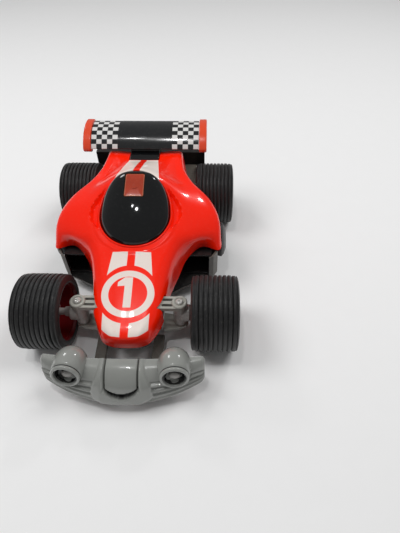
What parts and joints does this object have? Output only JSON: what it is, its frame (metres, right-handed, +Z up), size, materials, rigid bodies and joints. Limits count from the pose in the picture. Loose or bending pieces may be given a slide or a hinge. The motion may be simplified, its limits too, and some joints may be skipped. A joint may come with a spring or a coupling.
{
  "type": "toy remote control racing car",
  "caption": "Toy remote control racing car with bubble canopy, rear wing and lamp bumper; steering front wheels, geared rear axle, switch and battery cover.",
  "frame": {"origin": "centre of the bounding box's base, on the floor under the wheels", "axes": "+Z up, -Y forward to the nose, +X to the driver's left"},
  "size_m": [0.18, 0.2694, 0.1009],
  "materials": {
    "shell_red": "gloss",
    "gloss_black": "high gloss",
    "signal_red": "gloss, slightly translucent",
    "pod_black": "satin",
    "chassis_grey": "satin",
    "arm_grey": "satin",
    "bumper_grey": "semi-gloss",
    "rim_red": "satin",
    "tyre_black": "matte ribbed rubber",
    "endplate_red": "gloss",
    "lamp_grey": "satin",
    "steel": "plain steel",
    "gear_white": "natural nylon",
    "board_green": "solder mask",
    "cell_jacket": "gloss jacket"
  },
  "bodies": {
    "chassis": {"chassis_tub": "chassis_grey", "battery_cell_1": "cell_jacket", "battery_cell_2": "cell_jacket", "battery_cell_3": "cell_jacket", "battery_cell_4": "cell_jacket", "circuit_board": "board_green", "steering_motor": "steel", "drive_motor": "steel", "body_shell": "shell_red", "canopy": "gloss_black", "signal_window": "signal_red", "side_pod_left": "pod_black", "side_pod_right": "pod_black", "upper_arm_left": "arm_grey", "upper_arm_right": "arm_grey", "lower_arm_left": "arm_grey", "lower_arm_right": "arm_grey", "kingpin_screw_left": "steel", "kingpin_screw_right": "steel", "bumper": "bumper_grey", "bumper_arm_left": "chassis_grey", "bumper_arm_right": "chassis_grey", "headlamp_cup_left": "pod_black", "headlamp_cup_right": "pod_black", "headlamp_bulb_left": "lamp_grey", "headlamp_bulb_right": "lamp_grey", "wing_blade": "gloss_black", "endplate_left": "endplate_red", "endplate_right": "endplate_red", "wing_pylon": "gloss_black", "rear_bumper": "pod_black", "rear_deck": "arm_grey", "axle_bush_left": "gear_white", "axle_bush_right": "gear_white"},
    "knuckle_left": {"knuckle_left": "lamp_grey"},
    "knuckle_right": {"knuckle_right": "lamp_grey"},
    "front_left_wheel": {"front_left_tyre": "tyre_black", "front_left_rim": "rim_red", "front_left_hub_cap": "arm_grey"},
    "front_right_wheel": {"front_right_tyre": "tyre_black", "front_right_rim": "rim_red", "front_right_hub_cap": "arm_grey"},
    "tie_rod": {"tie_rod": "arm_grey"},
    "steering_pinion": {"steering_pinion": "gear_white"},
    "rear_axle": {"rear_axle": "steel", "axle_gear": "gear_white", "rear_left_tyre": "tyre_black", "rear_left_rim": "rim_red", "rear_left_hub_cap": "arm_grey", "rear_right_tyre": "tyre_black", "rear_right_rim": "rim_red", "rear_right_hub_cap": "arm_grey"},
    "idler_gear": {"idler_gear": "gear_white"},
    "motor_pinion": {"motor_pinion": "gear_white"},
    "power_switch": {"switch_slider": "gloss_black"},
    "battery_cover": {"battery_cover": "chassis_grey", "battery_cover_screw": "steel"}
  },
  "joints": [
    {"name": "steer_left", "type": "hinge", "parent": "chassis", "child": "knuckle_left", "pos_m": [0.042, -0.064, 0.032], "axis": [0, 0, 1], "range_deg": [-20, 20]},
    {"name": "steer_right", "type": "hinge", "parent": "chassis", "child": "knuckle_right", "pos_m": [-0.042, -0.064, 0.032], "axis": [0, 0, 1], "range_deg": [-20, 20]},
    {"name": "front_left_spin", "type": "hinge", "parent": "knuckle_left", "child": "front_left_wheel", "pos_m": [0.071, -0.064, 0.032], "axis": [1, 0, 0], "continuous": true},
    {"name": "front_right_spin", "type": "hinge", "parent": "knuckle_right", "child": "front_right_wheel", "pos_m": [-0.071, -0.064, 0.032], "axis": [1, 0, 0], "continuous": true},
    {"name": "tie_rod_slide", "type": "slide", "parent": "chassis", "child": "tie_rod", "axis": [1, 0, 0], "range_m": [-0.0049, 0.0049]},
    {"name": "steering_pinion_turn", "type": "hinge", "parent": "chassis", "child": "steering_pinion", "pos_m": [0, -0.04491, 0.025], "axis": [0, 0, 1], "range_deg": [-94, 94]},
    {"name": "rear_axle_spin", "type": "hinge", "parent": "chassis", "child": "rear_axle", "pos_m": [0, 0.096, 0.032], "axis": [1, 0, 0], "continuous": true},
    {"name": "idler_spin", "type": "hinge", "parent": "chassis", "child": "idler_gear", "pos_m": [0, 0.07913, 0.02993], "axis": [1, 0, 0], "continuous": true},
    {"name": "motor_pinion_spin", "type": "hinge", "parent": "chassis", "child": "motor_pinion", "pos_m": [0, 0.06427, 0.03202], "axis": [1, 0, 0], "continuous": true},
    {"name": "switch_slide", "type": "slide", "parent": "chassis", "child": "power_switch", "axis": [0, 1, 0], "range_m": [0, 0.004]},
    {"name": "battery_cover_off", "type": "slide", "parent": "chassis", "child": "battery_cover", "axis": [0, 0, -1], "range_m": [0, 0.01]}
  ],
  "couplings": [
    {"joint": "steer_right", "follows": "steer_left", "ratio": 1},
    {"joint": "tie_rod_slide", "follows": "steer_left", "m_per_rad": -0.014},
    {"joint": "steering_pinion_turn", "follows": "steer_left", "ratio": -4.6667},
    {"joint": "idler_spin", "follows": "rear_axle_spin", "ratio": -2.4},
    {"joint": "motor_pinion_spin", "follows": "rear_axle_spin", "ratio": 6.6}
  ]
}
